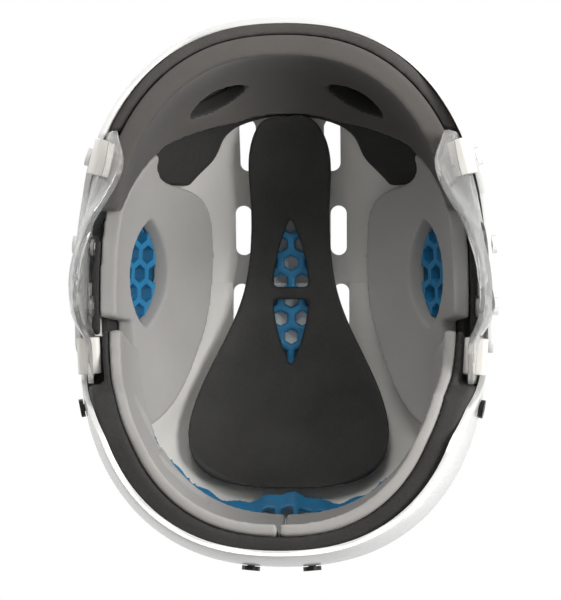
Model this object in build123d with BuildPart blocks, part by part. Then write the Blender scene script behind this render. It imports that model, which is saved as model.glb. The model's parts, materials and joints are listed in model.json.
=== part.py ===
"""Ice hockey helmet for an adult head: a two-piece shell that slides to fit, foam
liners, comfort pads, open lattice pads, clear ear guards, strap loops and fasteners.

Millimetres. +Z is up as the helmet is worn, the forehead faces -Y, and the wearer's
left is +X. The origin is under the middle of the helmet, level with its lowest edge.
"""

import functools
import math
import os

from build123d import *

os.makedirs("parts", exist_ok=True)

# Outer form: a rounded dome with a short straight middle, on walls that draw in below
half_width = 112.0
front_length = 147.0
rear_length = 128.9
middle_length = 20.0
crown_height = 182.0
equator_height = 70.0
wall_draw_depth = 153.0
plan_power = 2.35
rise_power = 2.0
ring_point_count = 20
low_ring_heights = (18.0, 44.0)
level_angles = (0, 18, 36, 54, 70, 82, 88)

# Layers, from the outside in
shell_wall = 3.0
shell_clearance = 0.6
layer_gap = 0.4
front_liner_thickness = 6.0
forehead_pad_thickness = 11.0
side_liner_thickness = 4.0
side_pad_thickness = 9.0
lattice_thickness = 4.5
crown_pad_thickness = 6.5
rear_liner_side_thickness = 12.5
rear_liner_end_thickness = 8.7
rear_pad_thickness = 6.2

front_inner_inset = shell_wall
rear_outer_inset = shell_wall + shell_clearance
rear_inner_inset = rear_outer_inset + shell_wall
front_liner_inset = front_inner_inset + layer_gap
forehead_inset = front_liner_inset + front_liner_thickness + layer_gap
lining_inset = rear_inner_inset + layer_gap
side_pad_inset = lining_inset + side_liner_thickness + layer_gap
crown_pad_inset = lining_inset + lattice_thickness + layer_gap
rear_pad_side_inset = lining_inset + rear_liner_side_thickness + layer_gap
rear_pad_end_inset = lining_inset + rear_liner_end_thickness + layer_gap

# Size adjustment: the rear shell slides back under the front shell
size_travel = 20.0
size_screw_rest = 3.0
size_screw_heights = (90.0, 163.0)
overlap_margin = 9.0

# Shell edges, seen from the side
brow_height = 62.0
temple_height = 50.0
temple_place = -84.0
arch_front = -64.0
arch_height = 64.0
front_shell_rear = size_screw_rest + size_travel + overlap_margin
rear_shell_front = size_screw_rest - overlap_margin
rear_arch_height = 79.0
ear_back = 34.0
ear_back_low = 58.0
ear_back_low_height = 14.0
nape_start = 72.0
edge_radius = 7.0
small_edge_radius = 2.5

# Raised ridge and vents of the shell
ridge_height = 3.0
ridge_front_width = 30.0
ridge_rear_width = 44.0
ridge_front = -122.0
rear_ridge_start = 36.0
rear_ridge_end = 122.0
vent_length = 29.0
vent_width = 9.5
vent_places = ((24.5, -86.0), (28.0, -37.0), (29.5, 9.0))
rear_vent_places = ((32.0, 60.0), (27.0, 96.0))
side_vent_length = 36.0
side_vent_width = 8.0
side_vent_place = -34.0
side_vent_height = 112.0

# Fasteners
shank_radius = 2.0
screw_head_radius = 4.8
screw_head_height = 2.2
screw_socket_radius = 1.7
screw_socket_depth = 1.3
seat_gap = 0.3
nut_bore_clearance = 0.15
nut_barrel_radius = 3.1
nut_flange_radius = 5.6
nut_flange_thickness = 1.5
nut_gap = 0.8
hole_clearance = 0.4
hole_radius = nut_barrel_radius + hole_clearance
guard_screw_places = ((-72.0, 58.0), (-26.0, 69.5), (7.0, 69.5))
visor_insert_places = ((-104.0, 74.0), (-84.0, 78.0))
corner_screw_place = 60.0
corner_screw_height = 40.0
nape_screw_offset = 16.0
nape_screw_height = 46.0

# Front liner and forehead pad
brow_liner_height = 57.0
front_liner_step = -86.0
front_liner_back = -58.0
front_liner_top = 150.0
lobe_back = -62.0
liner_waist_place = -80.0
liner_waist_height = 100.0
lobe_low = 122.0
lobe_arch_depth = 40.0
lobe_arch_half_width = 61.0
lobe_arch_shares = ((0.95, 0.0), (0.82, 0.22), (0.70, 0.42), (0.62, 0.68), (0.40, 0.90))
brow_pad_height = 54.0
forehead_back = -44.0
forehead_corner_place = -81.0
forehead_corner_height = 104.0
forehead_top = 125.5
forehead_top_back = -96.0
eye_length = 37.0
eye_height = 15.0
eye_offset = 43.0
eye_centre_height = 112.0

# Side liner and side pad, seen from the side
side_front = -80.0
side_liner_front = -56.0
side_back = 74.0
side_low = 77.0
side_top = 151.0
side_pad_shares = (
    (0.605, 0.0),
    (0.224, 0.0),
    (0.006, 0.365),
    (0.125, 0.61),
    (0.155, 0.80),
    (0.29, 0.95),
    (0.52, 0.985),
    (0.71, 0.93),
    (0.86, 0.80),
    (1.0, 0.37),
    (0.62, 0.37),
)
side_pad_curve_start = 2
side_pad_curve_end = 9
lens_length = 56.0
lens_width = 29.0
lens_flare = 2.5
lens_place = -11.0
lens_height = 121.0
side_lattice_border = 7.0
side_lattice_rise = 4.0
liner_slot_clearance = 1.2

# Crown pad, seen from above
crown_pad_low = 122.5
crown_pad_front = -101.0
crown_pad_rear = 111.0
crown_pad_half_width = 57.0
crown_edge_shares = (
    (0.012, 0.25),
    (0.07, 0.385),
    (0.20, 0.41),
    (0.36, 0.415),
    (0.49, 0.50),
    (0.64, 0.74),
    (0.77, 0.95),
    (0.87, 1.0),
    (0.95, 0.86),
    (0.99, 0.50),
)
crown_lens_front = -44.0
crown_lens_rear = 43.0
crown_lens_half_width = 10.4
crown_bar_width = 7.2

# Lattices
hexagon_radius = 5.4
hexagon_pitch = 12.6
hexagon_row_count = 4
hexagon_column_count = 2
lattice_rim = 3.0
crown_lattice_front = -52.0
crown_lattice_half_width = 17.0
crown_lattice_rear = 60.0

# Rear liner, rear pads and rear lattice
rear_liner_front = 20.0
rear_liner_low = 3.0
rear_liner_top = 98.0
rear_foam_shares = (
    (0.08, 1.0),
    (0.0, 0.66),
    (0.0, 0.45),
    (0.16, 0.30),
    (0.24, 0.12),
    (0.42, 0.0),
    (1.0, 0.0),
    (1.0, 1.0),
)
pad_seam = 0.8
rear_lattice_low = 100.0
rear_lattice_top = 121.0
rear_lattice_front = 78.0
rear_lattice_thickness = 7.0
rear_lattice_pitch = 11.0
rear_lattice_hole_width = 7.0
rear_lattice_hole_height = 13.0
rear_lattice_reach = 50.0
guard_pocket_depth = 12.5

# Ear guards
guard_thickness = 2.5
guard_gap = 1.1
guard_nut_gap = 1.0
guard_front = -84.0
guard_rear = 47.0
guard_top = 73.5
front_liner_step_height = guard_top + 2 * layer_gap
guard_shares = (
    (0.0, 0.90),
    (0.0, 0.38),
    (0.12, 0.16),
    (0.30, 0.0),
    (0.58, 0.0),
    (0.80, 0.20),
    (1.0, 0.36),
    (1.0, 0.80),
    (0.86, 1.0),
    (0.12, 1.0),
)
guard_section_top = 84.0
guard_section_step = 8.0
guard_section_count = 12
guard_section_points = 17
guard_step_start = 12.0
guard_step_end = 27.0
guard_lobe_place = -63.0
guard_lobe_reach = 30.0
guard_lobe_depth = 9.5
guard_lobe_start = 52.0
guard_lobe_end = 20.0
guard_bulge_place = -6.0
guard_bulge_reach = 40.0
guard_bulge_height = 6.5
guard_bulge_start = 60.0
guard_bulge_end = 44.0
ear_hole_place = -14.0
ear_hole_height = 36.0
ear_hole_length = 46.0
ear_hole_width = 36.0

# Strap loops, folded webbing through two slots of an ear guard
loop_width = 19.0
loop_webbing = 2.0
loop_inner_depth = 8.0
loop_bar = 6.0
loop_slot_clearance = 0.5
loop_places = (("front", -70.5, 42.0), ("rear", 33.0, 44.0))
loop_corner = 1.6

overrun = 12.0
pick_margin = 1.0
slope_step = 0.05


def level_share(height, rise_inset):
    """How much of its widest plan the form keeps at a height."""
    if height <= equator_height:
        return math.sqrt(1 - ((equator_height - height) / wall_draw_depth) ** 2)
    rise = crown_height - equator_height - rise_inset
    reach = min(1, (height - equator_height) / rise)
    return (1 - reach**rise_power) ** (1 / rise_power)


def ring_points(share, side_inset, end_inset):
    """Points round the plan of the form, counter-clockwise from +X."""
    points = []
    for step in range(ring_point_count):
        turn = 2 * math.pi * step / ring_point_count
        across = math.copysign(abs(math.cos(turn)) ** (2 / plan_power), math.cos(turn))
        along = abs(math.sin(turn)) ** (2 / plan_power)
        x = across * (half_width - side_inset) * share
        if math.sin(turn) < 0:
            y = -along * (front_length - end_inset) * share
        else:
            y = middle_length + along * (rear_length - end_inset) * share
        points.append((x, y))
    return points


@functools.lru_cache(maxsize=None)
def dome(side_inset, end_inset):
    """The solid inside the form's surface, moved in by the two insets."""
    levels = [(level_share(height, end_inset), height) for height in (-overrun, *low_ring_heights)]
    rise = crown_height - equator_height - end_inset
    for angle in level_angles:
        turn = math.radians(angle)
        share = math.cos(turn) ** (2 / rise_power)
        levels.append((share, equator_height + rise * math.sin(turn) ** (2 / rise_power)))
    with BuildPart() as body:
        for share, height in levels:
            with BuildSketch(Plane.XY.offset(height)):
                with BuildLine():
                    Spline(*ring_points(share, side_inset, end_inset), periodic=True)
                make_face()
        loft()
    return body.part


@functools.lru_cache(maxsize=None)
def layer(outer_inset, inner_side_inset, inner_end_inset):
    """The wall between the surface at one inset and the surface at deeper ones."""
    with BuildPart() as body:
        add(dome(outer_inset[0], outer_inset[1]))
        add(dome(inner_side_inset, inner_end_inset), mode=Mode.SUBTRACT)
    return body.part


def even_layer(outer_inset, thickness):
    """A wall of one thickness all round."""
    inner = outer_inset + thickness
    return layer((outer_inset, outer_inset), inner, inner)


def side_x(y, height, inset):
    """Half width of the form at a place along it and a height."""
    share = level_share(height, inset)
    if y < 0:
        along = -y / ((front_length - inset) * share)
    else:
        along = max(0, y - middle_length) / ((rear_length - inset) * share)
    return (half_width - inset) * share * (1 - along**plan_power) ** (1 / plan_power)


def end_y(x, height, inset, end):
    """How far the form reaches towards an end (-1 front, 1 rear) at a place across it."""
    share = level_share(height, inset)
    across = abs(x) / ((half_width - inset) * share)
    reach = (1 - across**plan_power) ** (1 / plan_power) * share
    if end < 0:
        return -(front_length - inset) * reach
    return middle_length + (rear_length - inset) * reach


def side_plane(side, y, height, inset):
    """Plane on the side wall, its Z pointing out of the wall and its X along it."""
    step = slope_step
    x = side_x(y, height, inset)
    slope_y = (side_x(y + step, height, inset) - x) / step
    slope_z = (side_x(y, height + step, inset) - x) / step
    return Plane(
        origin=(side * x, y, height),
        x_dir=(side * slope_y, 1, 0),
        z_dir=(side, -slope_y, -slope_z),
    )


def end_plane(x, height, inset, end):
    """Plane on the front or rear wall, its Z pointing out of the wall."""
    step = slope_step
    y = end_y(x, height, inset, end)
    slope_x = (end_y(x + step, height, inset, end) - y) / step
    slope_z = (end_y(x, height + step, inset, end) - y) / step
    return Plane(
        origin=(x, y, height),
        x_dir=(1, slope_x, 0),
        z_dir=(-end * slope_x, end, -end * slope_z),
    )


def boxed(shares, start, end, low, high):
    """Turns a table of shares into points inside a box."""
    return [(start + (end - start) * along, low + (high - low) * up) for along, up in shares]


def lens(length, width):
    """A pointed oval, its points on the local X axis."""
    with BuildSketch(mode=Mode.PRIVATE) as oval:
        with BuildLine():
            ThreePointArc((-length / 2, 0), (0, width / 2), (length / 2, 0))
            ThreePointArc((length / 2, 0), (0, -width / 2), (-length / 2, 0))
        make_face()
    return oval.sketch


def honeycomb_places(middle):
    """Centres of a honeycomb's cells, across and along it, about a place along it."""
    row_step = hexagon_pitch * math.sqrt(3) / 2
    places = []
    for row in range(-hexagon_row_count, hexagon_row_count + 1):
        for column in range(-hexagon_column_count, hexagon_column_count + 1):
            places.append(((column + row % 2 / 2) * hexagon_pitch, middle + row * row_step))
    return places


both_sides = (1, -1)
across_all = half_width + overrun
size_screw_planes = [
    side_plane(side, size_screw_rest, height, 0) for side in both_sides for height in size_screw_heights
]
size_slot_middle = size_screw_rest + size_travel / 2
size_slot_planes = [
    side_plane(side, size_slot_middle, height, 0) for side in both_sides for height in size_screw_heights
]
guard_screw_planes = [side_plane(side, y, z, 0) for side in both_sides for y, z in guard_screw_places]
visor_planes = [side_plane(side, y, z, 0) for side in both_sides for y, z in visor_insert_places]
corner_planes = [
    side_plane(side, corner_screw_place, corner_screw_height, rear_outer_inset) for side in both_sides
]
nape_planes = [
    end_plane(side * nape_screw_offset, nape_screw_height, rear_outer_inset, 1) for side in both_sides
]

# Raised ridges along the top of both shells
ridge_layer = even_layer(-ridge_height, ridge_height + shell_wall / 2)
with BuildPart() as front_ridge:
    add(ridge_layer)
    with BuildSketch(Plane.XY.offset(equator_height)):
        with BuildLine():
            Polyline(
                (-ridge_front_width / 2, ridge_front),
                (ridge_front_width / 2, ridge_front),
                (ridge_rear_width / 2, front_shell_rear + overrun),
                (-ridge_rear_width / 2, front_shell_rear + overrun),
                close=True,
            )
        make_face()
        fillet(vertices().group_by(Axis.Y)[0], edge_radius)
    extrude(amount=crown_height, mode=Mode.INTERSECT)

# Front shell: forehead, temples and the front of the crown
with BuildPart() as front_shell:
    add(even_layer(0, shell_wall))
    add(front_ridge.part)
    with BuildSketch(Plane.YZ):
        with BuildLine():
            Polyline(
                (-front_length - overrun, brow_height),
                (-front_length + overrun, brow_height),
                (temple_place - overrun, temple_height),
                (temple_place + overrun, temple_height),
                (arch_front + overrun, arch_height),
                (front_shell_rear, arch_height),
                (front_shell_rear, crown_height + overrun),
                (-front_length - overrun, crown_height + overrun),
                close=True,
            )
        make_face()
        corners = vertices().filter_by_position(Axis.X, -front_length, front_shell_rear + pick_margin)
        fillet(corners, edge_radius)
    extrude(amount=across_all, both=True, mode=Mode.INTERSECT)
    with BuildSketch(Plane.XY.offset(equator_height)):
        with Locations(*[(side * x, y) for side in both_sides for x, y in vent_places]):
            SlotOverall(vent_length, vent_width, rotation=90)
    extrude(amount=crown_height, mode=Mode.SUBTRACT)
    with BuildSketch(Plane.YZ):
        with Locations((side_vent_place, side_vent_height)):
            SlotOverall(side_vent_length, side_vent_width)
    extrude(amount=across_all, both=True, mode=Mode.SUBTRACT)
    with BuildSketch(*size_slot_planes):
        SlotCenterToCenter(size_travel, 2 * (shank_radius + hole_clearance))
    extrude(amount=2 * shell_wall, both=True, mode=Mode.SUBTRACT)
    with Locations(*guard_screw_planes, *visor_planes):
        Cylinder(hole_radius, 4 * shell_wall, mode=Mode.SUBTRACT)
front_shell.part.label = "front_shell"
export_step(front_shell.part, "parts/front_shell.step")

# Rear shell: nape, back of the head and the rear of the crown
with BuildPart() as rear_ridge:
    add(even_layer(rear_outer_inset - ridge_height, ridge_height + shell_wall / 2))
    with BuildSketch(Plane.XY.offset(equator_height)):
        with BuildLine():
            Polyline(
                (-ridge_rear_width / 2, rear_ridge_start),
                (ridge_rear_width / 2, rear_ridge_start),
                (ridge_front_width / 2, rear_ridge_end),
                (-ridge_front_width / 2, rear_ridge_end),
                close=True,
            )
        make_face()
        fillet(vertices().group_by(Axis.Y)[-1], edge_radius)
    extrude(amount=crown_height, mode=Mode.INTERSECT)

with BuildPart() as rear_shell:
    add(even_layer(rear_outer_inset, shell_wall))
    add(rear_ridge.part)
    with BuildSketch(Plane.YZ):
        with BuildLine():
            Polyline(
                (rear_shell_front, crown_height + overrun),
                (rear_shell_front, rear_arch_height),
                (ear_back, rear_arch_height),
                (ear_back_low, ear_back_low_height),
                (nape_start, 0),
                (rear_length + middle_length + overrun, 0),
                (rear_length + middle_length + overrun, crown_height + overrun),
                close=True,
            )
        make_face()
        fillet(vertices().filter_by_position(Axis.X, rear_shell_front, nape_start), edge_radius)
    extrude(amount=across_all, both=True, mode=Mode.INTERSECT)
    notch_x, notch_y = vent_places[-1]
    notch_reach = vent_length + size_travel
    with BuildSketch(Plane.XY.offset(equator_height)):
        with Locations(*[(side * notch_x, notch_y - size_travel / 2) for side in both_sides]):
            SlotOverall(notch_reach, vent_width, rotation=90)
        with Locations(*[(side * x, y) for side in both_sides for x, y in rear_vent_places]):
            SlotOverall(vent_length, vent_width, rotation=90)
    extrude(amount=crown_height, mode=Mode.SUBTRACT)
    with Locations(*size_screw_planes, *corner_planes, *nape_planes):
        Cylinder(hole_radius, 6 * shell_wall, mode=Mode.SUBTRACT)
rear_shell.part.label = "rear_shell"
export_step(rear_shell.part, "parts/rear_shell.step")


def side_outline(points):
    """Cuts the part being made to an outline seen from the side, its corners rounded."""
    with BuildSketch(Plane.YZ) as outline:
        with BuildLine():
            Polyline(*points, close=True)
        make_face()
        fillet(vertices(), small_edge_radius)
    extrude(outline.sketch, amount=across_all, both=True, mode=Mode.INTERSECT)


def side_pad_outline(front):
    """Cuts the part being made to the side pad's outline: straight below, curved above."""
    points = boxed(side_pad_shares, front, side_back, side_low, side_top)
    with BuildSketch(Plane.YZ) as outline:
        with BuildLine():
            Polyline(*points[side_pad_curve_end:], *points[:side_pad_curve_start + 1])
            Spline(*points[side_pad_curve_start:side_pad_curve_end + 1])
        make_face()
        fillet(vertices(), small_edge_radius)
    extrude(outline.sketch, amount=across_all, both=True, mode=Mode.INTERSECT)


def keep_side(side):
    """Keeps only one half of the part being made, a seam's half width off the middle."""
    with Locations((side * (across_all + pad_seam) / 2, 0, crown_height / 2)):
        Box(across_all, 4 * front_length, 2 * crown_height, mode=Mode.INTERSECT)


# Front liner: dark foam in the forehead, with two lobes that reach up the crown
with BuildPart() as front_liner:
    add(even_layer(front_liner_inset, front_liner_thickness))
    with BuildSketch(Plane.YZ):
        with BuildLine():
            Polyline(
                (-front_length, brow_liner_height),
                (front_liner_step, brow_liner_height),
                (front_liner_step, front_liner_step_height),
                (front_liner_back, front_liner_step_height),
                (liner_waist_place, liner_waist_height),
                (lobe_back, lobe_low),
                (lobe_back, front_liner_top),
                (-front_length, front_liner_top),
                close=True,
            )
        make_face()
        corners = vertices().filter_by_position(Axis.X, pick_margin - front_length, lobe_back + pick_margin)
        fillet(corners, small_edge_radius)
    extrude(amount=across_all, both=True, mode=Mode.INTERSECT)
    with BuildSketch(Plane.XY.offset(equator_height)):
        arch = [
            (lobe_arch_half_width * across, lobe_back - lobe_arch_depth * along)
            for across, along in lobe_arch_shares
        ]
        mirrored_arch = [(-x, y) for x, y in reversed(arch)]
        with BuildLine():
            Spline(*arch, (0, lobe_back - lobe_arch_depth), *mirrored_arch)
            Polyline(
                mirrored_arch[-1],
                (-lobe_arch_half_width, lobe_back + overrun),
                (lobe_arch_half_width, lobe_back + overrun),
                arch[0],
            )
        make_face()
    extrude(amount=crown_height, mode=Mode.SUBTRACT)
    with Locations(*visor_planes):
        with Locations((0, 0, -shell_wall)):
            Cylinder(
                nut_flange_radius + hole_clearance,
                2 * (nut_flange_thickness + nut_gap + layer_gap),
                mode=Mode.SUBTRACT,
            )
front_liner.part.label = "front_liner"
export_step(front_liner.part, "parts/front_liner.step")

# Forehead pad: grey comfort foam with two eye-shaped slots
with BuildPart() as forehead_pad:
    add(even_layer(forehead_inset, forehead_pad_thickness))
    with BuildSketch(Plane.YZ):
        with BuildLine():
            Polyline(
                (-front_length, brow_pad_height),
                (forehead_back, brow_pad_height),
                (forehead_back, front_liner_step_height),
                (forehead_corner_place, forehead_corner_height),
                (forehead_top_back, forehead_top),
                (-front_length, forehead_top),
                close=True,
            )
        make_face()
        corners = vertices().filter_by_position(
            Axis.X, pick_margin - front_length, forehead_back + pick_margin
        )
        fillet(corners, small_edge_radius)
    extrude(amount=across_all, both=True, mode=Mode.INTERSECT)
    for side in both_sides:
        with BuildSketch(end_plane(side * eye_offset, eye_centre_height, forehead_inset, -1)):
            add(lens(eye_length, eye_height))
        extrude(amount=3 * forehead_pad_thickness, both=True, mode=Mode.SUBTRACT)
forehead_pad.part.label = "forehead_pad"
export_step(forehead_pad.part, "parts/forehead_pad.step")

# Side liners, side pads and the lattices that show through the pads' lens holes
for side, name in ((1, "left"), (-1, "right")):
    with BuildPart() as side_liner:
        add(even_layer(lining_inset, side_liner_thickness))
        side_pad_outline(side_liner_front)
        keep_side(side)
        with BuildSketch(Plane.YZ):
            with Locations((lens_place, lens_height)):
                add(lens(lens_length + 2 * side_lattice_border, lens_width + 2 * side_lattice_border))
        extrude(amount=side * across_all, mode=Mode.SUBTRACT)
        with BuildSketch(*[plane for plane in size_slot_planes if plane.origin.X * side > 0]):
            SlotCenterToCenter(size_travel, 2 * (nut_flange_radius + liner_slot_clearance))
        extrude(amount=2 * lining_inset, both=True, mode=Mode.SUBTRACT)
    side_liner.part.label = f"side_liner_{name}"
    export_step(side_liner.part, f"parts/side_liner_{name}.step")

    lens_plane = side_plane(side, lens_place, lens_height, side_pad_inset)
    with BuildPart() as lattice_rise:
        add(even_layer(lining_inset, side_liner_thickness + side_lattice_rise))
        with BuildSketch(lens_plane):
            add(lens(lens_length - 2 * layer_gap, lens_width - 2 * layer_gap))
        extrude(amount=overrun, both=True, mode=Mode.INTERSECT)

    with BuildPart() as side_lattice:
        add(even_layer(lining_inset, side_liner_thickness))
        keep_side(side)
        with BuildSketch(Plane.YZ):
            with Locations((lens_place, lens_height)):
                lattice_growth = 2 * (side_lattice_border - layer_gap)
                add(lens(lens_length + lattice_growth, lens_width + lattice_growth))
        extrude(amount=side * across_all, mode=Mode.INTERSECT)
        add(lattice_rise.part)
        with BuildSketch(lens_plane):
            with Locations(*[(along, across) for across, along in honeycomb_places(0)]):
                RegularPolygon(hexagon_radius, 6)
            with BuildSketch(mode=Mode.INTERSECT):
                add(lens(lens_length + lattice_rim, lens_width + lattice_rim))
        extrude(amount=overrun, both=True, mode=Mode.SUBTRACT)
    side_lattice.part.label = f"side_lattice_{name}"
    export_step(side_lattice.part, f"parts/side_lattice_{name}.step")

    with BuildPart() as side_pad:
        add(even_layer(side_pad_inset, side_pad_thickness))
        side_pad_outline(side_front)
        keep_side(side)
        with BuildSketch(lens_plane.offset(layer_gap)):
            add(lens(lens_length, lens_width))
        with BuildSketch(lens_plane.offset(-2 * side_pad_thickness)):
            add(lens(lens_length + 4 * lens_flare, lens_width + 4 * lens_flare))
        loft(mode=Mode.SUBTRACT)
    side_pad.part.label = f"side_pad_{name}"
    export_step(side_pad.part, f"parts/side_pad_{name}.step")

# Crown pad: a long tongue that widens over the back of the head
with BuildPart() as crown_pad:
    add(even_layer(crown_pad_inset, crown_pad_thickness))
    with BuildSketch(Plane.XY.offset(equator_height)):
        edge = [
            (crown_pad_half_width * across, crown_pad_front + (crown_pad_rear - crown_pad_front) * along)
            for along, across in crown_edge_shares
        ]
        mirrored_edge = [(-x, y) for x, y in reversed(edge)]
        with BuildLine():
            Spline((0, crown_pad_front), *edge, (0, crown_pad_rear), *mirrored_edge, periodic=True)
        make_face()
        with BuildSketch(mode=Mode.SUBTRACT):
            with Locations(Location((0, (crown_lens_front + crown_lens_rear) / 2, 0), (0, 0, 90))):
                add(lens(crown_lens_rear - crown_lens_front, 2 * crown_lens_half_width))
            Rectangle(2 * crown_lens_half_width, crown_bar_width, mode=Mode.SUBTRACT)
    extrude(amount=crown_height, mode=Mode.INTERSECT)
    with Locations((0, 0, crown_pad_low)):
        Box(
            2 * across_all,
            4 * front_length,
            crown_height,
            align=(Align.CENTER, Align.CENTER, Align.MIN),
            mode=Mode.INTERSECT,
        )
crown_pad.part.label = "crown_pad"
export_step(crown_pad.part, "parts/crown_pad.step")

# Crown lattice: the open honeycomb behind the crown pad
with BuildPart() as crown_lattice:
    add(even_layer(lining_inset, lattice_thickness))
    lattice_length = crown_lattice_rear - crown_lattice_front
    lattice_middle = (crown_lattice_rear + crown_lattice_front) / 2
    with BuildSketch(Plane.XY.offset(equator_height)):
        with Locations((0, lattice_middle)):
            RectangleRounded(2 * crown_lattice_half_width, lattice_length, edge_radius)
        with BuildSketch(mode=Mode.SUBTRACT):
            with Locations(*honeycomb_places(lattice_middle)):
                RegularPolygon(hexagon_radius, 6, rotation=30)
            with BuildSketch(mode=Mode.INTERSECT):
                with Locations((0, lattice_middle)):
                    Rectangle(
                        2 * (crown_lattice_half_width - lattice_rim),
                        lattice_length - 2 * lattice_rim,
                    )
    extrude(amount=crown_height, mode=Mode.INTERSECT)
crown_lattice.part.label = "crown_lattice"
export_step(crown_lattice.part, "parts/crown_lattice.step")

# Rear liner and rear pads: thick foam beside the ears that thins towards the nape
rear_end = middle_length + rear_length
rear_foam_points = boxed(rear_foam_shares, rear_liner_front, rear_end, rear_liner_low, rear_liner_top)
with BuildPart() as guard_pocket:
    add(even_layer(rear_outer_inset, guard_pocket_depth))
    with BuildSketch(Plane.YZ):
        with Locations((guard_rear + 2 * layer_gap, 0)):
            Rectangle(4 * size_travel, 2 * (guard_top + layer_gap), align=(Align.MAX, Align.CENTER))
    extrude(amount=across_all, both=True, mode=Mode.INTERSECT)

with BuildPart() as rear_liner:
    add(
        layer(
            (lining_inset, lining_inset),
            lining_inset + rear_liner_side_thickness,
            lining_inset + rear_liner_end_thickness,
        )
    )
    side_outline(rear_foam_points)
    add(guard_pocket.part, mode=Mode.SUBTRACT)
    with Locations(*corner_planes, *nape_planes):
        with Locations((0, 0, -shell_wall)):
            Cylinder(
                nut_flange_radius + hole_clearance,
                2 * (nut_flange_thickness + nut_gap + layer_gap),
                mode=Mode.SUBTRACT,
            )
rear_liner.part.label = "rear_liner"
export_step(rear_liner.part, "parts/rear_liner.step")

for side, name in ((1, "left"), (-1, "right")):
    with BuildPart() as rear_pad:
        add(
            layer(
                (rear_pad_side_inset, rear_pad_end_inset),
                rear_pad_side_inset + rear_pad_thickness,
                rear_pad_end_inset + rear_pad_thickness,
            )
        )
        side_outline(rear_foam_points)
        keep_side(side)
    rear_pad.part.label = f"rear_pad_{name}"
    export_step(rear_pad.part, f"parts/rear_pad_{name}.step")

# Rear lattice: an open strip between the rear pads and the crown pad
with BuildPart() as rear_lattice:
    add(even_layer(lining_inset, rear_lattice_thickness))
    with BuildSketch(Plane.YZ):
        with Locations((rear_lattice_front, rear_lattice_low)):
            Rectangle(rear_end, rear_lattice_top - rear_lattice_low, align=(Align.MIN, Align.MIN))
    extrude(amount=across_all, both=True, mode=Mode.INTERSECT)
    hole_count = 2 * int(rear_lattice_reach / rear_lattice_pitch) + 1
    for number in range(hole_count):
        x = (number - (hole_count - 1) / 2) * rear_lattice_pitch
        middle_height = (rear_lattice_low + rear_lattice_top) / 2
        with Locations(end_plane(x, middle_height, lining_inset, 1)):
            Box(
                rear_lattice_hole_width,
                rear_lattice_hole_height,
                4 * rear_lattice_thickness,
                mode=Mode.SUBTRACT,
            )
rear_lattice.part.label = "rear_lattice"
export_step(rear_lattice.part, "parts/rear_lattice.step")


def smooth_share(value, start, end):
    """Rises smoothly from zero at the start to one at the end."""
    share = max(0, min(1, (value - start) / (end - start)))
    return share * share * (3 - 2 * share)


def bump_share(value, place, reach):
    """A smooth hump that is one at its place and zero at its reach."""
    share = min(1, abs(value - place) / reach)
    return (1 + math.cos(math.pi * share)) / 2


def guard_x(y, height):
    """Half width at the middle of an ear guard's wall."""
    inset = front_inner_inset + guard_gap + guard_thickness / 2
    inset += (rear_inner_inset - front_inner_inset) * smooth_share(y, guard_step_start, guard_step_end)
    base_x = side_x(y, height, inset)
    low = smooth_share(height, guard_lobe_start, guard_lobe_end)
    out = smooth_share(height, guard_bulge_start, guard_bulge_end)
    lobe = guard_lobe_depth * bump_share(y, guard_lobe_place, guard_lobe_reach) * low
    bulge = guard_bulge_height * bump_share(y, guard_bulge_place, guard_bulge_reach) * out
    return base_x - lobe + bulge


def guard_plane(y, height):
    """Plane on the left ear guard's middle, its Z pointing out and its X along the wall."""
    x = guard_x(y, height)
    slope_y = (guard_x(y + slope_step, height) - x) / slope_step
    slope_z = (guard_x(y, height + slope_step) - x) / slope_step
    return Plane(origin=(x, y, height), x_dir=(slope_y, 1, 0), z_dir=(1, -slope_y, -slope_z))


def guard_edge(height, offset):
    """Points along an ear guard's wall at a height, moved out by an offset."""
    points = []
    start = guard_front - small_edge_radius
    length = guard_rear - guard_front + 2 * small_edge_radius
    for step in range(guard_section_points):
        y = start + length * step / (guard_section_points - 1)
        x = guard_x(y, height)
        slope = (guard_x(y + slope_step, height) - x) / slope_step
        size = math.hypot(1, slope)
        points.append((x + offset / size, y - offset * slope / size))
    return points


# Ear guards: clear plastic that bulges over the ear and curls in before it
loop_slot_height = loop_webbing + 2 * loop_slot_clearance
with BuildPart() as ear_guard_left:
    for number in range(guard_section_count):
        height = guard_section_top - number * guard_section_step
        with BuildSketch(Plane.XY.offset(height)):
            outer_edge = guard_edge(height, guard_thickness / 2)
            inner_edge = guard_edge(height, -guard_thickness / 2)
            with BuildLine():
                Spline(*outer_edge)
                Line(outer_edge[-1], inner_edge[-1])
                Spline(*reversed(inner_edge))
                Line(inner_edge[0], outer_edge[0])
            make_face()
    loft()
    with BuildSketch(Plane.YZ):
        with BuildLine():
            Polyline(*boxed(guard_shares, guard_front, guard_rear, 0, guard_top), close=True)
        make_face()
        fillet(vertices(), edge_radius)
        with Locations((ear_hole_place, ear_hole_height)):
            Ellipse(ear_hole_length / 2, ear_hole_width / 2, mode=Mode.SUBTRACT)
    extrude(amount=across_all, mode=Mode.INTERSECT)
    with Locations(*[plane for plane in guard_screw_planes if plane.origin.X > 0]):
        Cylinder(hole_radius, 8 * shell_wall, mode=Mode.SUBTRACT)
    for place, y, height in loop_places:
        with Locations(guard_plane(y, height)):
            with GridLocations(0, loop_bar + loop_slot_height, 1, 2):
                Box(loop_width + 2 * loop_slot_clearance, loop_slot_height, overrun, mode=Mode.SUBTRACT)
ear_guard_left.part.label = "ear_guard_left"
export_step(ear_guard_left.part, "parts/ear_guard_left.step")

with BuildPart() as ear_guard_right:
    mirror(ear_guard_left.part, about=Plane.YZ)
ear_guard_right.part.label = "ear_guard_right"
export_step(ear_guard_right.part, "parts/ear_guard_right.step")

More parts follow.
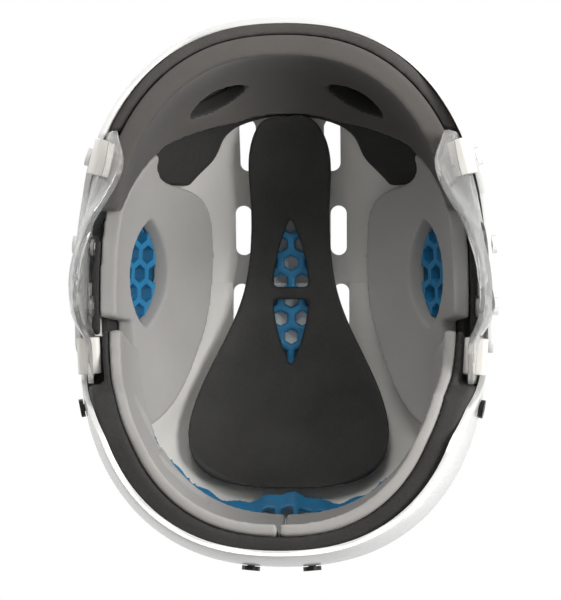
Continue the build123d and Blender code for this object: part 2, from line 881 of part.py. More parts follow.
# Strap loops: webbing through the two slots at each end of an ear guard
for place, y, height in loop_places:
    wall = guard_plane(y, height)
    with BuildPart() as strap_loop_left:
        with BuildSketch(Plane(origin=wall.origin, x_dir=wall.y_dir, z_dir=wall.x_dir)):
            inner_height = loop_bar + 2 * loop_slot_clearance
            RectangleRounded(
                inner_height + 2 * loop_webbing,
                loop_inner_depth + 2 * loop_webbing,
                loop_corner + loop_webbing / 2,
            )
            RectangleRounded(inner_height, loop_inner_depth, loop_corner / 2, mode=Mode.SUBTRACT)
        extrude(amount=loop_width / 2, both=True)
    with BuildPart() as strap_loop_right:
        mirror(strap_loop_left.part, about=Plane.YZ)
    for loop, name in ((strap_loop_left, "left"), (strap_loop_right, "right")):
        loop.part.label = f"strap_loop_{place}_{name}"
        export_step(loop.part, f"parts/strap_loop_{place}_{name}.step")


def screw_set(planes, depth):
    """Pan-head screws with hexagon sockets, their shanks as deep as given."""
    with BuildPart() as screws:
        with Locations(*planes):
            with Locations((0, 0, (seat_gap - depth) / 2)):
                Cylinder(shank_radius, seat_gap + depth)
            with Locations((0, 0, seat_gap + screw_head_height / 2)):
                Cylinder(screw_head_radius, screw_head_height)
            with Locations((0, 0, seat_gap + screw_head_height - screw_socket_depth / 2)):
                Cylinder(screw_socket_radius, screw_socket_depth, mode=Mode.SUBTRACT)
    return screws.part


def nut_set(planes, depth):
    """Barrel nuts that pass out through the walls, their flanges at the given depth."""
    with BuildPart() as nuts:
        with Locations(*planes):
            with Locations((0, 0, -depth - nut_flange_thickness / 2)):
                Cylinder(nut_flange_radius, nut_flange_thickness)
            with Locations((0, 0, -depth + shell_wall / 3)):
                Cylinder(nut_barrel_radius, 2 * shell_wall / 3)
            with Locations((0, 0, -depth)):
                Cylinder(shank_radius + nut_bore_clearance, 4 * shell_wall, mode=Mode.SUBTRACT)
    return nuts.part


size_depth = rear_inner_inset + nut_gap
guard_depth = front_inner_inset + guard_gap + guard_thickness + guard_nut_gap
rear_depth = shell_wall + nut_gap
visor_depth = shell_wall + nut_gap
fastener_sets = (
    ("size_screws", screw_set(size_screw_planes, size_depth + nut_flange_thickness)),
    ("size_nuts", nut_set(size_screw_planes, size_depth)),
    ("ear_guard_screws", screw_set(guard_screw_planes, guard_depth + nut_flange_thickness)),
    ("ear_guard_nuts", nut_set(guard_screw_planes, guard_depth)),
    ("rear_screws", screw_set(corner_planes + nape_planes, rear_depth + nut_flange_thickness)),
    ("rear_nuts", nut_set(corner_planes + nape_planes, rear_depth)),
    ("visor_inserts", nut_set(visor_planes, visor_depth)),
)
for name, fasteners in fastener_sets:
    fasteners.label = name
    export_step(fasteners, f"parts/{name}.step")
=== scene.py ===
# %% [markdown]
# # Dressing an ice hockey helmet
# The helmet arrives as a finished frame of named parts, each in its real place.
# Here it gets its looks: foam with soft edges, moulded plastic, clear ear guards,
# and the light and camera of a product picture taken from below.

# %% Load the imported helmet
import json
import math

import bmesh
import bpy
from mathutils import Matrix, Vector
from mathutils.bvhtree import BVHTree
from mathutils.geometry import intersect_point_line

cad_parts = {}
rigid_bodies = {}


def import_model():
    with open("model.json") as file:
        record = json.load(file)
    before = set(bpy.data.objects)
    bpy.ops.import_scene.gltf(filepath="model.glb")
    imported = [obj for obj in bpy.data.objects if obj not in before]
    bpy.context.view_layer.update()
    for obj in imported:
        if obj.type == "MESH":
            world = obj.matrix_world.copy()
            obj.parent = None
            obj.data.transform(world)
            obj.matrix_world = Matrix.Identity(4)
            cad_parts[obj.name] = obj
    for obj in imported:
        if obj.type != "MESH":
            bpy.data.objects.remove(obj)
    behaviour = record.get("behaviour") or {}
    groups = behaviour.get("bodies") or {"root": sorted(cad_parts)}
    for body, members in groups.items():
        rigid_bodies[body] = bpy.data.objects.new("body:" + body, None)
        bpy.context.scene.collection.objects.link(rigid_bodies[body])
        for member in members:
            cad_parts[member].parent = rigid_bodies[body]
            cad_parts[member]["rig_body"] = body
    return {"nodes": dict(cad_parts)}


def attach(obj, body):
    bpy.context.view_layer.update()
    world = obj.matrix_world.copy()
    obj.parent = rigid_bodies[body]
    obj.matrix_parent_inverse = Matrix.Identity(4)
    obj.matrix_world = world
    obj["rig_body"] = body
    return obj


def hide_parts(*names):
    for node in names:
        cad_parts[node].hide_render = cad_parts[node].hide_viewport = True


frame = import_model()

scene = bpy.context.scene
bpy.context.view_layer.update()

# %% [markdown]
# ## The camera
# The picture looks straight up into the opening, forehead at the top. A camera close to
# the helmet would make the rim balloon, so a long lens about a metre away is used. The
# scale of the rim in the picture gives the lens, and the spot where the middle of the rim
# falls gives the aim.

# %% Camera below the opening
picture_width, picture_height = 561, 600
sensor_width = 36.0
rim_metres_per_pixel = 0.0005
camera_depth = 0.95
camera_side = 0.045
rim_middle_pixel = (277.5, 293.0)
forehead_way = Vector((0, -1, 0))

aim = Vector((
    (picture_width / 2 - rim_middle_pixel[0]) * rim_metres_per_pixel,
    (picture_height / 2 - rim_middle_pixel[1]) * rim_metres_per_pixel,
    0,
))
camera_data = bpy.data.cameras.new("camera")
camera_data.sensor_width = sensor_width
camera_data.lens = camera_depth / rim_metres_per_pixel * sensor_width / picture_height
camera = bpy.data.objects.new("camera", camera_data)
scene.collection.objects.link(camera)
scene.camera = camera

camera_place = Vector((camera_side, 0, -camera_depth))
look = (aim - camera_place).normalized()
right = look.cross(forehead_way).normalized()
up = right.cross(look)
turned = Matrix((right, up, -look)).transposed().to_4x4()
camera.matrix_world = Matrix.Translation(camera_place) @ turned
print("lens", round(camera_data.lens, 1), "mm")

# %% [markdown]
# ## Light
# In a studio a soft box stands on the right and below, so the left inner walls are bright
# and the right ones lie in shade. Two weaker lamps below reach the crown and the nape, and
# one at each side edges the white shell. Two more lamps above are for someone who walks
# round the helmet. Square area lamps are used because they give soft shadows.

# %% Soft lamps
light_aim = Vector((0, 0, 0.09))


def soft_lamp(name, place, size, watts):
    """A square lamp that faces the middle of the helmet."""
    data = bpy.data.lights.new(name, "AREA")
    data.size = size
    data.energy = watts
    lamp = bpy.data.objects.new(name, data)
    lamp.location = place
    lamp.rotation_mode = "QUATERNION"
    lamp.rotation_quaternion = (light_aim - Vector(place)).to_track_quat("-Z", "Y")
    scene.collection.objects.link(lamp)
    print(name, "shines with", watts, "watts")


soft_lamp("key_below", place=(0.85, -0.15, -0.75), size=0.5, watts=11.5)
soft_lamp("fill_below", place=(0.1, 0.1, -1.1), size=0.5, watts=0.7)
soft_lamp("rear_below", place=(-0.1, -0.95, -0.7), size=0.5, watts=4.0)
soft_lamp("edge_left", place=(-1.1, 0.0, 0.12), size=0.5, watts=2.5)
soft_lamp("edge_right", place=(1.1, 0.1, 0.12), size=0.5, watts=0.8)
soft_lamp("key_above", place=(-0.8, -0.9, 1.1), size=0.7, watts=8.0)
soft_lamp("fill_above", place=(1.0, 0.7, 0.8), size=0.8, watts=3.5)

# %% [markdown]
# ## Surroundings
# The background is plain white. A world that shines full white would wash the pale parts
# out, so only what is seen straight or through clear plastic gets full white. Mirror images
# of it are fainter, and the light that it throws on the helmet is weak. The kind of each
# light ray tells which of the three it is.

# %% White world
surround_strength = 0.15
mirror_share = 0.75
white = (1, 1, 1, 1)

world = bpy.data.worlds.new("studio")
scene.world = world
world.use_nodes = True
sky = world.node_tree
sky.nodes.clear()
sky_rays = sky.nodes.new("ShaderNodeLightPath")
straight_or_clear = sky.nodes.new("ShaderNodeMath")
straight_or_clear.operation = "MAXIMUM"
faint_mirror = sky.nodes.new("ShaderNodeMath")
faint_mirror.operation = "MULTIPLY"
faint_mirror.inputs[1].default_value = mirror_share
seen = sky.nodes.new("ShaderNodeMath")
seen.operation = "MAXIMUM"
soft_white = sky.nodes.new("ShaderNodeBackground")
soft_white.inputs["Strength"].default_value = surround_strength
soft_white.inputs["Color"].default_value = white
full_white = sky.nodes.new("ShaderNodeBackground")
full_white.inputs["Strength"].default_value = 1.0
full_white.inputs["Color"].default_value = white
sky_mix = sky.nodes.new("ShaderNodeMixShader")
world_out = sky.nodes.new("ShaderNodeOutputWorld")
sky.links.new(sky_rays.outputs["Is Camera Ray"], straight_or_clear.inputs[0])
sky.links.new(sky_rays.outputs["Is Transmission Ray"], straight_or_clear.inputs[1])
sky.links.new(sky_rays.outputs["Is Glossy Ray"], faint_mirror.inputs[0])
sky.links.new(straight_or_clear.outputs[0], seen.inputs[0])
sky.links.new(faint_mirror.outputs[0], seen.inputs[1])
sky.links.new(seen.outputs[0], sky_mix.inputs[0])
sky.links.new(soft_white.outputs[0], sky_mix.inputs[1])
sky.links.new(full_white.outputs[0], sky_mix.inputs[2])
sky.links.new(sky_mix.outputs[0], world_out.inputs[0])

scene.view_settings.view_transform = "Standard"
print("world nodes:", len(sky.nodes))

# %% [markdown]
# ## Floor
# The helmet stands on its rim, on white paper. The picture is taken from under that paper,
# and a plain plane would hide everything. So the paper shows only its upper side, and it
# casts no shadow, which lets the light of the lamps below pass.

# %% One-sided floor
floor_size = 6.0
floor_grey = 0.86
floor_roughness = 0.9

shape = bmesh.new()
bmesh.ops.create_grid(shape, x_segments=1, y_segments=1, size=floor_size / 2)
floor_mesh = bpy.data.meshes.new("floor")
shape.to_mesh(floor_mesh)
shape.free()
floor = bpy.data.objects.new("floor", floor_mesh)
scene.collection.objects.link(floor)

floor_finish = bpy.data.materials.new("floor")
floor_finish.use_nodes = True
tree = floor_finish.node_tree
paper = tree.nodes["Principled BSDF"]
paper.inputs["Base Color"].default_value = (floor_grey, floor_grey, floor_grey, 1)
paper.inputs["Roughness"].default_value = floor_roughness
side_seen = tree.nodes.new("ShaderNodeNewGeometry")
floor_rays = tree.nodes.new("ShaderNodeLightPath")
unseen = tree.nodes.new("ShaderNodeMath")
unseen.operation = "MAXIMUM"
clear = tree.nodes.new("ShaderNodeBsdfTransparent")
paper_or_clear = tree.nodes.new("ShaderNodeMixShader")
tree.links.new(side_seen.outputs["Backfacing"], unseen.inputs[0])
tree.links.new(floor_rays.outputs["Is Shadow Ray"], unseen.inputs[1])
tree.links.new(unseen.outputs[0], paper_or_clear.inputs[0])
tree.links.new(paper.outputs[0], paper_or_clear.inputs[1])
tree.links.new(clear.outputs[0], paper_or_clear.inputs[2])
tree.links.new(paper_or_clear.outputs[0], tree.nodes["Material Output"].inputs["Surface"])
floor.data.materials.append(floor_finish)
print("floor:", floor_size, "m wide")

# %% [markdown]
# ## Shared effects
# Three surface effects are used again and again: the fine cells of foam, the brushed nap
# of a comfort pad, and the soft ripple and handling marks of moulded plastic. Painted
# pictures would stretch on parts this curved, so each effect is worked out from the place
# in space. Each is one node group that is put into a material with its own values.

# %% Helpers for node groups


def effect_group(name, inputs):
    """A shader group with named number inputs that gives a shade and a height."""
    group = bpy.data.node_groups.new(name, "ShaderNodeTree")
    for label, value in inputs:
        socket = group.interface.new_socket(label, in_out="INPUT", socket_type="NodeSocketFloat")
        socket.default_value = value
    for label in ("Shade", "Height"):
        group.interface.new_socket(label, in_out="OUTPUT", socket_type="NodeSocketFloat")
    into = group.nodes.new("NodeGroupInput").outputs
    out = group.nodes.new("NodeGroupOutput").inputs
    print("effect:", name)
    return group, into, out


def noise_in(group, scale, detail, stretch=None):
    """A noise texture on object coordinates inside a group."""
    place = group.nodes.new("ShaderNodeTexCoord")
    noise = group.nodes.new("ShaderNodeTexNoise")
    noise.inputs["Detail"].default_value = detail
    source = place.outputs["Object"]
    if stretch:
        mapping = group.nodes.new("ShaderNodeMapping")
        mapping.inputs["Scale"].default_value = stretch
        group.links.new(source, mapping.inputs["Vector"])
        source = mapping.outputs["Vector"]
    group.links.new(source, noise.inputs["Vector"])
    group.links.new(scale, noise.inputs["Scale"])
    return noise


def math_in(group, operation, first, second):
    """A math node fed by two sockets."""
    node = group.nodes.new("ShaderNodeMath")
    node.operation = operation
    group.links.new(first, node.inputs[0])
    group.links.new(second, node.inputs[1])
    return node.outputs[0]


# %% [markdown]
# Cut foam shows its cells. A Voronoi texture gives round cells of one size, and a cloudy
# noise under them keeps the colour from being flat.

# %% Foam cells
foam_cells, into, out = effect_group(
    "foam_cells", [("Cell Scale", 900.0), ("Cloud Scale", 22.0), ("Cell Share", 0.35)]
)
place = foam_cells.nodes.new("ShaderNodeTexCoord")
cells = foam_cells.nodes.new("ShaderNodeTexVoronoi")
foam_cells.links.new(place.outputs["Object"], cells.inputs["Vector"])
foam_cells.links.new(into["Cell Scale"], cells.inputs["Scale"])
clouds = noise_in(foam_cells, into["Cloud Scale"], detail=5.0)
cell_shade = math_in(foam_cells, "MULTIPLY", cells.outputs["Distance"], into["Cell Share"])
foam_cells.links.new(math_in(foam_cells, "ADD", cell_shade, clouds.outputs["Fac"]), out["Shade"])
foam_cells.links.new(cells.outputs["Distance"], out["Height"])

# %% [markdown]
# Comfort pads are covered with a brushed skin. Its hairs lie one way, so the fine noise is
# stretched along the height of the helmet.

# %% Brushed nap
brushed_nap, into, out = effect_group(
    "brushed_nap", [("Nap Scale", 1400.0), ("Cloud Scale", 30.0), ("Nap Share", 0.3)]
)
nap = noise_in(brushed_nap, into["Nap Scale"], detail=2.0, stretch=(1.0, 1.0, 0.35))
clouds = noise_in(brushed_nap, into["Cloud Scale"], detail=6.0)
nap_shade = math_in(brushed_nap, "MULTIPLY", nap.outputs["Fac"], into["Nap Share"])
brushed_nap.links.new(math_in(brushed_nap, "ADD", nap_shade, clouds.outputs["Fac"]), out["Shade"])
brushed_nap.links.new(nap.outputs["Fac"], out["Height"])

# %% [markdown]
# Moulded plastic is never quite even: it ripples a little as it shrinks, and hands leave
# long faint marks. One noise bends the surface and a stretched one shades it.

# %% Moulded plastic
moulded_skin, into, out = effect_group(
    "moulded_skin", [("Ripple Scale", 260.0), ("Mark Scale", 45.0), ("Mark Share", 0.5)]
)
ripple = noise_in(moulded_skin, into["Ripple Scale"], detail=1.0)
marks = noise_in(moulded_skin, into["Mark Scale"], detail=8.0, stretch=(1.0, 0.45, 1.0))
mark_shade = math_in(moulded_skin, "MULTIPLY", marks.outputs["Fac"], into["Mark Share"])
moulded_skin.links.new(mark_shade, out["Shade"])
moulded_skin.links.new(ripple.outputs["Fac"], out["Height"])

# %% [markdown]
# ## Finishes
# A finish is two near colours that the effect's shade runs between, a roughness range
# that follows the same shade, and a bump from the effect's height. All finishes are built
# the same way, so one helper makes them and the differences are easy to compare.

# %% A helper for finishes
shade_low, shade_high = 0.3, 0.9


def finish(name, group, values, light, dark, rough, bump, bump_distance, **shader_values):
    """A material whose colour, roughness and bump follow a shared effect."""
    material = bpy.data.materials.new(name)
    material.use_nodes = True
    tree = material.node_tree
    shader = tree.nodes["Principled BSDF"]
    effect = tree.nodes.new("ShaderNodeGroup")
    effect.node_tree = group
    for label, value in values.items():
        effect.inputs[label].default_value = value
    spread = tree.nodes.new("ShaderNodeMapRange")
    spread.inputs["From Min"].default_value = shade_low
    spread.inputs["From Max"].default_value = shade_high
    tree.links.new(effect.outputs["Shade"], spread.inputs["Value"])
    colour = tree.nodes.new("ShaderNodeMix")
    colour.data_type = "RGBA"
    colour.inputs["A"].default_value = (*light, 1)
    colour.inputs["B"].default_value = (*dark, 1)
    tree.links.new(spread.outputs["Result"], colour.inputs["Factor"])
    tree.links.new(colour.outputs["Result"], shader.inputs["Base Color"])
    gloss = tree.nodes.new("ShaderNodeMapRange")
    gloss.inputs["To Min"].default_value = rough[0]
    gloss.inputs["To Max"].default_value = rough[1]
    tree.links.new(spread.outputs["Result"], gloss.inputs["Value"])
    tree.links.new(gloss.outputs["Result"], shader.inputs["Roughness"])
    relief = tree.nodes.new("ShaderNodeBump")
    relief.inputs["Strength"].default_value = bump
    relief.inputs["Distance"].default_value = bump_distance
    tree.links.new(effect.outputs["Height"], relief.inputs["Height"])
    tree.links.new(relief.outputs["Normal"], shader.inputs["Normal"])
    for label, value in shader_values.items():
        shader.inputs[label.replace("_", " ")].default_value = value
    print("finish:", name)
    return material


# %% [markdown]
# The shell is white plastic with a gloss coat outside. Its inside is the bare moulding:
# warmer, duller, and a little wavier.

# %% Shell finishes
shell_gloss = finish(
    "shell_gloss", moulded_skin, {"Ripple Scale": 180.0, "Mark Scale": 40.0, "Mark Share": 1.0},
    light=(0.93, 0.925, 0.91), dark=(0.88, 0.875, 0.86), rough=(0.16, 0.30),
    bump=0.06, bump_distance=0.0004, Coat_Weight=0.35, Coat_Roughness=0.08,
)
shell_inside = finish(
    "shell_inside", moulded_skin, {"Ripple Scale": 320.0, "Mark Scale": 26.0, "Mark Share": 1.0},
    light=(0.93, 0.91, 0.865), dark=(0.86, 0.84, 0.79), rough=(0.38, 0.55),
    bump=0.12, bump_distance=0.0005,
)

# %% [markdown]
# The liners are nearly black foam. The brow liner's lower band gets a greyer copy of it, which is
# painted light where the lamp below falls. The crown cushion is a denser foam with finer cells, and
# a little shinier.

# %% Foam finishes
# A greyer copy of the dark foam: painted light on the brow liner's lit lower band.
brow_foam_painted_light = finish(
    "brow_foam_painted_light", foam_cells, {"Cell Scale": 800.0, "Cloud Scale": 18.0, "Cell Share": 0.3},
    light=(0.095, 0.088, 0.082), dark=(0.066, 0.061, 0.057), rough=(0.72, 0.90),
    bump=0.25, bump_distance=0.0004,
)
# This dark foam is also used as painted shade on the walls of the forehead slots.
dark_foam_and_slot_shade = finish(
    "dark_foam_and_slot_shade", foam_cells, {"Cell Scale": 800.0, "Cloud Scale": 18.0, "Cell Share": 0.3},
    light=(0.048, 0.046, 0.044), dark=(0.032, 0.031, 0.030), rough=(0.70, 0.88),
    bump=0.25, bump_distance=0.0004,
)
crown_foam = finish(
    "crown_foam", foam_cells, {"Cell Scale": 1000.0, "Cloud Scale": 25.0, "Cell Share": 0.25},
    light=(0.048, 0.046, 0.044), dark=(0.030, 0.029, 0.028), rough=(0.62, 0.80),
    bump=0.22, bump_distance=0.0003,
)

# %% [markdown]
# The pads that touch the head have a brushed skin, dark on the forehead and light grey at
# the temples and the nape. A faint sheen stands for the hairs that catch grazing light.

# %% Comfort pad finishes
forehead_foam = finish(
    "forehead_foam", brushed_nap, {"Nap Scale": 1500.0, "Cloud Scale": 24.0, "Nap Share": 0.3},
    light=(0.125, 0.116, 0.106), dark=(0.096, 0.089, 0.082), rough=(0.80, 0.95),
    bump=0.3, bump_distance=0.0004, Sheen_Weight=0.15,
)
grey_nap = finish(
    "grey_nap", brushed_nap, {"Nap Scale": 1600.0, "Cloud Scale": 20.0, "Nap Share": 0.25},
    light=(0.48, 0.465, 0.445), dark=(0.42, 0.407, 0.39), rough=(0.78, 0.94),
    bump=0.3, bump_distance=0.0004, Sheen_Weight=0.2,
)

# %% [markdown]
# The lattices are soft blue plastic, the sleeves cream vinyl, and the ear guards clear
# plastic. Clear parts let most light through, bent less than by glass, so that the edges
# behind them stay readable.

# %% Plastic finishes
lattice_blue = finish(
    "lattice_blue", moulded_skin, {"Ripple Scale": 700.0, "Mark Scale": 90.0, "Mark Share": 1.0},
    light=(0.035, 0.27, 0.52), dark=(0.018, 0.17, 0.37), rough=(0.28, 0.46),
    bump=0.2, bump_distance=0.0003,
)
cream_vinyl = finish(
    "cream_vinyl", moulded_skin, {"Ripple Scale": 900.0, "Mark Scale": 60.0, "Mark Share": 1.0},
    light=(0.95, 0.925, 0.87), dark=(0.90, 0.87, 0.81), rough=(0.40, 0.55),
    bump=0.15, bump_distance=0.0002,
)
clear_plastic = finish(
    "clear_plastic", moulded_skin, {"Ripple Scale": 60.0, "Mark Scale": 70.0, "Mark Share": 1.0},
    light=(0.87, 0.87, 0.86), dark=(0.78, 0.78, 0.77), rough=(0.06, 0.16),
    bump=0.25, bump_distance=0.001, Transmission_Weight=0.86, IOR=1.35,
)

# %% [markdown]
# Screws are blackened and nuts are zinc plated. Both are metal with very fine marks.

# %% Metal finishes
black_screw = finish(
    "black_screw", moulded_skin, {"Ripple Scale": 1500.0, "Mark Scale": 300.0, "Mark Share": 1.0},
    light=(0.035, 0.034, 0.033), dark=(0.018, 0.018, 0.018), rough=(0.25, 0.45),
    bump=0.2, bump_distance=0.0001, Metallic=0.7,
)
zinc = finish(
    "zinc", moulded_skin, {"Ripple Scale": 1200.0, "Mark Scale": 250.0, "Mark Share": 1.0},
    light=(0.66, 0.66, 0.65), dark=(0.48, 0.48, 0.47), rough=(0.22, 0.42),
    bump=0.2, bump_distance=0.0001, Metallic=1.0,
)

# %% [markdown]
# ## From a frame part to a finished piece
# The frame's parts are exact but sharp-edged. A piece could be modelled afresh, but then it
# might not fit its neighbours. So each finished piece starts as a copy of its part, with
# the loose triangles joined into one skin, and sits exactly where it belongs.

# %% Helpers for copies of frame parts
merge_distance = 0.00002


def merged_copy(node):
    """A bmesh of a frame part, its loose triangles joined."""
    shape = bmesh.new()
    shape.from_mesh(frame["nodes"][node].data)
    bmesh.ops.remove_doubles(shape, verts=shape.verts, dist=merge_distance)
    return shape


def stand_for(name, shape, node):
    """An object that takes a frame part's place and rides where the part rides."""
    mesh = bpy.data.meshes.new(name)
    shape.to_mesh(mesh)
    shape.free()
    piece = bpy.data.objects.new(name, mesh)
    scene.collection.objects.link(piece)
    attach(piece, frame["nodes"][node]["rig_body"])
    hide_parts(node)
    return piece


def dress(piece, materials):
    """Gives a piece its finishes and smooth shading."""
    piece.data.materials.clear()
    for material in materials:
        piece.data.materials.append(material)
    for face in piece.data.polygons:
        face.use_smooth = True
    triangles = sum(len(face.vertices) - 2 for face in piece.data.polygons)
    print(f"{piece.name}: {triangles} triangles")


# %% [markdown]
# ## Foam
# Cut and moulded foam has no sharp edge anywhere. A bevel can't round edges this curved
# cleanly. Remeshing the part into an even grid of small faces and then smoothing that grid
# rounds every edge by about two millimetres.

# %% Helpers for foam
soften_factor = 0.5


def remesh_and_soften(piece, grid, passes):
    """Modifiers that turn a piece into an even grid and smooth it."""
    remesh = piece.modifiers.new("even_grid", "REMESH")
    remesh.mode = "VOXEL"
    remesh.voxel_size = grid
    soften = piece.modifiers.new("soften", "SMOOTH")
    soften.factor = soften_factor
    soften.iterations = passes


def bake_modifiers(piece):
    """Turns what the modifiers make into the piece's own mesh."""
    graph = bpy.context.evaluated_depsgraph_get()
    made = bpy.data.meshes.new_from_object(piece.evaluated_get(graph))
    made.name = piece.name
    piece.modifiers.clear()
    piece.data = made


def foam_piece(node, name, materials, shape=None, grid=0.0013, passes=9):
    """A foam piece with soft edges in the space of a frame part, or from a given shape."""
    if shape is None:
        shape = merged_copy(node)
    piece = stand_for(name, shape, node)
    remesh_and_soften(piece, grid, passes)
    bake_modifiers(piece)
    dress(piece, materials)
    return piece


# %% [markdown]
# The brow liner lies round the forehead. It is one moulding of nearly black foam. Its lower band
# faces the lamp below, so the grey finish there is painted light. The faces above a given height,
# the lobes that reach up the crown, get the darker finish.

# %% Brow liner
brow_black_above = 0.085

brow_liner = foam_piece("front_liner", "brow_liner", (brow_foam_painted_light, dark_foam_and_slot_shade))
# Faces below this height keep the grey copy, which is painted light.
for face in brow_liner.data.polygons:
    face.material_index = 1 if face.center.z > brow_black_above else 0
print("dark faces:", sum(face.material_index for face in brow_liner.data.polygons))

# %% [markdown]
# The forehead cushion has two eye-shaped slots that look black from below, because hardly any light
# gets in. The walls of a slot are the faces near its middle that don't look at the head, and they
# get the dark foam as painted shade.

# %% Forehead cushion
head_middle = Vector((0, 0, 0.05))
slot_middle = Vector((0.043, -0.1075, 0.112))
slot_reach = 0.021
slot_wall_share = 0.7


def facing_head(place, normal):
    """One where a surface looks straight at the middle of the head, zero where it looks past."""
    return normal.dot((head_middle - place).normalized())


forehead_cushion = foam_piece(
    "forehead_pad", "forehead_cushion", (forehead_foam, dark_foam_and_slot_shade)
)
# The slot walls get the dark foam as painted shade.
for face in forehead_cushion.data.polygons:
    on_the_left = Vector((abs(face.center.x), face.center.y, face.center.z))
    near_slot = (on_the_left - slot_middle).length < slot_reach
    is_wall = near_slot and facing_head(face.center, face.normal) < slot_wall_share
    face.material_index = 1 if is_wall else 0
print("slot wall faces:", sum(face.material_index for face in forehead_cushion.data.polygons))

# %% [markdown]
# The crown cushion is a dark tongue along the middle of the crown, and the nape liner is
# the foam behind the ears and round the nape. Both are plain foam. The crown's grid is
# finer, because its two windows have narrow tips.

# %% Crown cushion and nape liner
foam_piece("crown_pad", "crown_cushion", (crown_foam,), grid=0.0011)
foam_piece("rear_liner", "nape_liner", (dark_foam_and_slot_shade,), grid=0.0014)

# %% [markdown]
# The temple cushions taper to thin edges in the frame, but the real ones are cut square.
# Moving the edges by hand would take long. Instead the skin that faces the head is doubled
# and thickened before the remesh, which then makes one solid of both.

# %% A helper for square edges
skin_share = 0.6


def square_edges(shape, thickness):
    """Thickens the skin that faces the head, so that the piece's thin edges become square."""
    skin = [
        face for face in shape.faces
        if facing_head(face.calc_center_median(), face.normal) > skin_share
    ]
    copied = bmesh.ops.duplicate(shape, geom=skin)["geom"]
    faces = [item for item in copied if isinstance(item, bmesh.types.BMFace)]
    bmesh.ops.solidify(shape, geom=faces, thickness=thickness)
    return shape


# %% [markdown]
# Each nape cushion has two shallow recesses that widen towards the nape. Cutting them with
# a solid would leave sharp rims. Instead the points of the cushion's grid that lie near a
# path sink in, less and less towards the wall of the recess. A path is stated as pixels of
# the picture, because that is where a recess can be pointed at. Rays from the camera find
# the places on the cushion, to a tenth of a millimetre.

# %% Helpers for recesses
place_decimals = 4
pressed_share = 0.2
recess_wall = 0.0012


def places_seen(node, pixels):
    """Where the camera's rays through some pixels first meet a frame part."""
    shape = merged_copy(node)
    tree = BVHTree.FromBMesh(shape)
    shape.free()
    places = []
    for across, down in pixels:
        at_rim_level = Vector((
            (across - rim_middle_pixel[0]) * rim_metres_per_pixel,
            (down - rim_middle_pixel[1]) * rim_metres_per_pixel,
            0,
        ))
        met = tree.ray_cast(camera_place, (at_rim_level - camera_place).normalized())[0]
        places.append(Vector(round(value, place_decimals) for value in met))
    print(node, "is met at", [[round(value, place_decimals) for value in place] for place in places])
    return places


def press(piece, path, half_widths, depth):
    """Presses a recess into the face of a foam piece that looks at the head."""
    reach = max(half_widths) + recess_wall
    low = Vector(min(point[axis] for point in path) - reach for axis in range(3))
    high = Vector(max(point[axis] for point in path) + reach for axis in range(3))
    limbs = list(zip(path, path[1:]))
    moves = {}
    for vert in piece.data.vertices:
        here = vert.co
        if not all(low[axis] < here[axis] < high[axis] for axis in range(3)):
            continue
        if facing_head(here, vert.normal) < pressed_share:
            continue
        nearest, share = math.inf, 0.0
        for number, (start, end) in enumerate(limbs):
            along = max(0.0, min(1.0, intersect_point_line(here, start, end)[1]))
            gap = (here - start.lerp(end, along)).length
            if gap < nearest:
                nearest, share = gap, (number + along) / len(limbs)
        half_width = half_widths[0] + share * (half_widths[1] - half_widths[0])
        sunk = max(0.0, min(1.0, (half_width + recess_wall - nearest) / recess_wall))
        moves[vert.index] = vert.normal * depth * sunk * sunk * (3 - 2 * sunk)
    for index, move in moves.items():
        piece.data.vertices[index].co -= move
    print(f"{piece.name}: pressed {sum(move.length > 0 for move in moves.values())} points")


# %% [markdown]
# Now the pieces of each side are made. The temple liner is thin, so it gets a fine grid
# and few smoothing passes. The pixels of the two recesses lie on the right nape cushion,
# which is on the left of the picture. Each recess has a half width at its first pixel and
# one at its last. The left cushion gets the same places mirrored, because the two sides of
# the helmet are alike.

# %% Pieces of the temples and the nape
fine_grid = 0.0011
temple_edge = 0.006
recess_depth = 0.0018
recess_pixels = ((160, 458), (170, 470), (180, 480), (190, 490), (199, 497))
recess_half_widths = (0.001, 0.006)
slit_pixels = ((134, 398), (142, 414), (150, 430), (157, 443))
slit_half_widths = (0.0005, 0.004)

nape_recesses = (
    (places_seen("rear_pad_right", recess_pixels), recess_half_widths),
    (places_seen("rear_pad_right", slit_pixels), slit_half_widths),
)
for hand, mirrored in (("left", -1), ("right", 1)):
    foam_piece(
        f"side_liner_{hand}", f"temple_liner_{hand}", (dark_foam_and_slot_shade,),
        grid=fine_grid, passes=4,
    )
    squared = square_edges(merged_copy(f"side_pad_{hand}"), temple_edge)
    foam_piece(
        f"side_pad_{hand}", f"temple_cushion_{hand}", (grey_nap,),
        shape=squared, grid=fine_grid,
    )
    nape_cushion = foam_piece(
        f"rear_pad_{hand}", f"nape_cushion_{hand}", (grey_nap,), grid=0.0012
    )
    for places, half_widths in nape_recesses:
        path = [Vector((mirrored * x, y, z)) for x, y, z in places]
        press(nape_cushion, path, half_widths, recess_depth)

# %% [markdown]
# ## Plastic
# Moulded plastic keeps its exact surfaces but has small rounded edges that catch the
# light. Remeshing would soften the surfaces too, so here a narrow bevel on every sharp
# edge makes them.

# %% A helper for plastic pieces
flat_angle = math.radians(1.5)
sharp_angle = math.radians(35)


def plastic_piece(node, name, materials, edge, segments=2):
    """A moulded piece with small rounded edges in the space of a frame part."""
    shape = merged_copy(node)
    bmesh.ops.dissolve_limit(
        shape, angle_limit=flat_angle, verts=shape.verts, edges=shape.edges, delimit={"SHARP"}
    )
    piece = stand_for(name, shape, node)
    bevel = piece.modifiers.new("rounded_edges", "BEVEL")
    bevel.width = edge
    bevel.segments = segments
    bevel.limit_method = "ANGLE"
    bevel.angle_limit = sharp_angle
    bevel.harden_normals = True
    dress(piece, materials)
    return piece


# %% [markdown]
# The two shells are painted on the outside only. Two separate skins could be made, but one
# skin with two finishes can't come apart. Faces that look towards the head get the plainer
# finish of the bare moulding.

# %% Shells
inside_share = 0.5

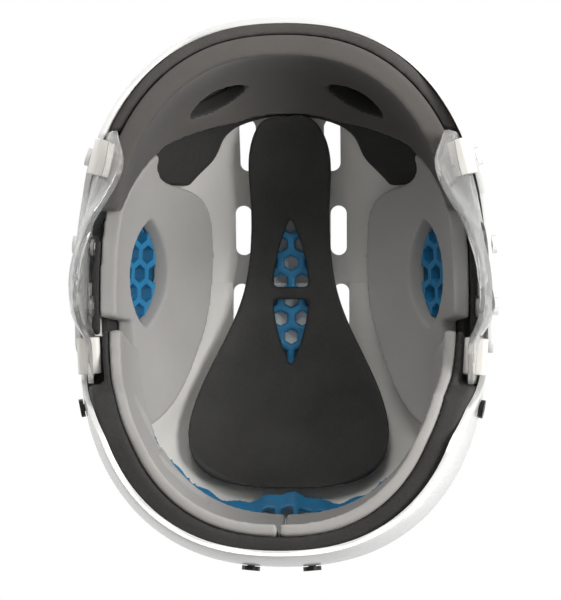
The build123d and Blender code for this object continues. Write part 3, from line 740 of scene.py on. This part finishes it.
for node, name in (("front_shell", "shell_front"), ("rear_shell", "shell_rear")):
    shell = plastic_piece(node, name, (shell_gloss, shell_inside), edge=0.0005)
    for face in shell.data.polygons:
        face.material_index = 1 if facing_head(face.center, face.normal) > inside_share else 0
    print(name, "inside faces:", sum(face.material_index for face in shell.data.polygons))

# %% [markdown]
# The temple lattices, the clear ear guards and the vinyl sleeves of the chin strap keep
# their shape. A sleeve is folded from thick soft sheet, so its edges are rounder.

# %% Temple lattices, ear guards and sleeves
for hand in ("left", "right"):
    plastic_piece(
        f"side_lattice_{hand}", f"temple_comb_{hand}", (lattice_blue,), edge=0.0004
    )
    plastic_piece(
        f"ear_guard_{hand}", f"ear_cover_{hand}", (clear_plastic,), edge=0.0007
    )
    for end in ("front", "rear"):
        plastic_piece(
            f"strap_loop_{end}_{hand}", f"sleeve_{end}_{hand}", (cream_vinyl,),
            edge=0.0014, segments=4,
        )

# %% [markdown]
# ## Soft lattices
# The lattice of the crown has round, swollen ribs. Beveling every cell would pinch where
# ribs meet, so it is remeshed and softened like foam, and then pushed outwards a little.

# %% Crown lattice


def round_comb(shape, name, node, grid, passes, grow=0.0):
    """A lattice with round ribs, swollen by the given growth."""
    piece = stand_for(name, shape, node)
    remesh_and_soften(piece, grid, passes)
    if grow:
        swell = piece.modifiers.new("swell", "DISPLACE")
        swell.strength = grow
        swell.mid_level = 0
    bake_modifiers(piece)
    dress(piece, (lattice_blue,))
    return piece


round_comb(
    merged_copy("crown_lattice"), "crown_comb", "crown_lattice", grid=0.0006, passes=6, grow=0.0009
)

# %% [markdown]
# The open strip at the nape is softer than the other lattices. It bows towards the head in
# the middle, and its edge waves. It is made thinner first, then remeshed, and bent last,
# because bending a fine grid leaves no corners.

# %% Strip at the nape
strip_thinner = 0.004
strip_inside_share = 0.5
strip_bow = 0.0095
strip_bow_reach = 0.036
strip_wave = 0.0009
strip_wave_length = 0.0165
strip_low, strip_top = 0.100, 0.121

shape = merged_copy("rear_lattice")
shape.normal_update()
for vert in shape.verts:
    inner = [
        face.normal for face in vert.link_faces
        if facing_head(face.calc_center_median(), face.normal) > strip_inside_share
    ]
    if inner:
        vert.co -= sum(inner, Vector()).normalized() * strip_thinner
nape_comb = round_comb(shape, "nape_comb", "rear_lattice", grid=0.0008, passes=5)
for vert in nape_comb.data.vertices:
    height = max(0.0, min(1.0, (vert.co.z - strip_low) / (strip_top - strip_low)))
    aside = min(1.0, abs(vert.co.x) / strip_bow_reach)
    bow = strip_bow * (1 + math.cos(math.pi * aside)) / 2
    wave = strip_wave * math.sin(2 * math.pi * vert.co.x / strip_wave_length)
    inward = -Vector((vert.co.x, vert.co.y, 0)).normalized()
    vert.co += inward * height * (bow + wave)
print("nape_comb: bent between", strip_low, "and", strip_top, "m")

# %% [markdown]
# ## Small parts
# Fasteners have the right shape already, so they only change finish. The screws of the ear
# guards are painted like the shell.

# %% Finishes of the fasteners


def paint(node, material):
    """Gives a frame part a new finish."""
    mesh = frame["nodes"][node].data
    mesh.materials.clear()
    mesh.materials.append(material)
    print(node, "is", material.name)


for node in ("size_screws", "rear_screws"):
    paint(node, black_screw)
for node in ("size_nuts", "ear_guard_nuts", "rear_nuts", "visor_inserts"):
    paint(node, zinc)
paint("ear_guard_screws", shell_gloss)
